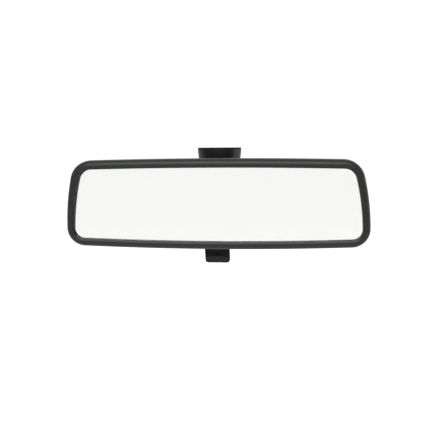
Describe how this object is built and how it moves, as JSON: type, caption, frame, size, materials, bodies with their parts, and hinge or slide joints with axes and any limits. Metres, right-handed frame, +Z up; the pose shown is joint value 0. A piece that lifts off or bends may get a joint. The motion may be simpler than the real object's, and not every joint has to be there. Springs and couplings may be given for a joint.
{
  "type": "interior rearview mirror",
  "caption": "Framed prismatic rearview mirror head on a ball joint, with a day and night tab below and a glued windscreen foot above.",
  "frame": {"origin": "centre of the adhesive pad's glue face, which is stuck to the windscreen", "axes": "+Z up, -Y towards the driver, X across the car; the head stands upright and the glue face leans 5.1 degrees towards +Y"},
  "size_m": [0.2476, 0.0645, 0.0956],
  "materials": {
    "case_plastic": "fine-grained charcoal moulding",
    "tab_plastic": "satin black moulding",
    "foot_plastic": "satin black moulding",
    "clear_glass": "polished",
    "silvering": "mirror",
    "film": "thin backing film",
    "foam_pad": "closed-cell foam",
    "rubber": "matt",
    "nylon": "natural nylon",
    "cast_metal": "die-cast, as cast",
    "stem_steel": "black phosphate",
    "plated_steel": "zinc plated",
    "spring_steel": "hardened strip"
  },
  "bodies": {
    "mount": {"adhesive_pad": "foam_pad", "foot_plate": "cast_metal", "foot_cover": "foot_plastic", "ball_stem": "stem_steel", "stem_washer": "plated_steel", "stem_nut": "plated_steel"},
    "liner_ring": {"socket_liner_rear": "nylon"},
    "liner_cup": {"socket_liner_front": "nylon"},
    "carrier": {"carrier_plate": "cast_metal", "pressure_pad": "plated_steel", "disc_springs": "spring_steel", "retainer_plate": "plated_steel", "retainer_screws": "plated_steel", "hinge_bushes": "nylon", "stop_pads": "rubber"},
    "head": {"bezel": "case_plastic", "rear_housing": "case_plastic", "prism_glass": "clear_glass", "silver_coating": "silvering", "safety_film": "film", "glass_cushions": "foam_pad", "aperture_seal": "rubber", "hinge_pin": "plated_steel", "hinge_clips": "spring_steel", "detent_spring": "spring_steel", "spring_screws": "plated_steel", "tab_pin": "plated_steel"},
    "tab": {"tab_lever": "tab_plastic"}
  },
  "joints": [
    {"name": "swivel_yaw", "type": "hinge", "parent": "mount", "child": "liner_ring", "pos_m": [0, -0.023, -0.0401], "axis": [0, 0, 1], "range_deg": [-20, 20]},
    {"name": "swivel_roll", "type": "hinge", "parent": "liner_ring", "child": "liner_cup", "pos_m": [0, -0.023, -0.0401], "axis": [0, 1, 0], "range_deg": [-8, 8]},
    {"name": "swivel_pitch", "type": "hinge", "parent": "liner_cup", "child": "carrier", "pos_m": [0, -0.023, -0.0401], "axis": [1, 0, 0], "range_deg": [-10, 12]},
    {"name": "night_dip", "type": "hinge", "parent": "carrier", "child": "head", "pos_m": [0, -0.033, -0.0201], "axis": [-1, 0, 0], "range_deg": [0, 4]},
    {"name": "tab_flip", "type": "hinge", "parent": "head", "child": "tab", "pos_m": [0, -0.035, -0.0745], "axis": [-1, 0, 0], "range_deg": [0, 50], "deforming": ["detent_spring"]}
  ],
  "couplings": [
    {"joint": "tab_flip", "follows": "night_dip", "ratio": 12.5}
  ]
}
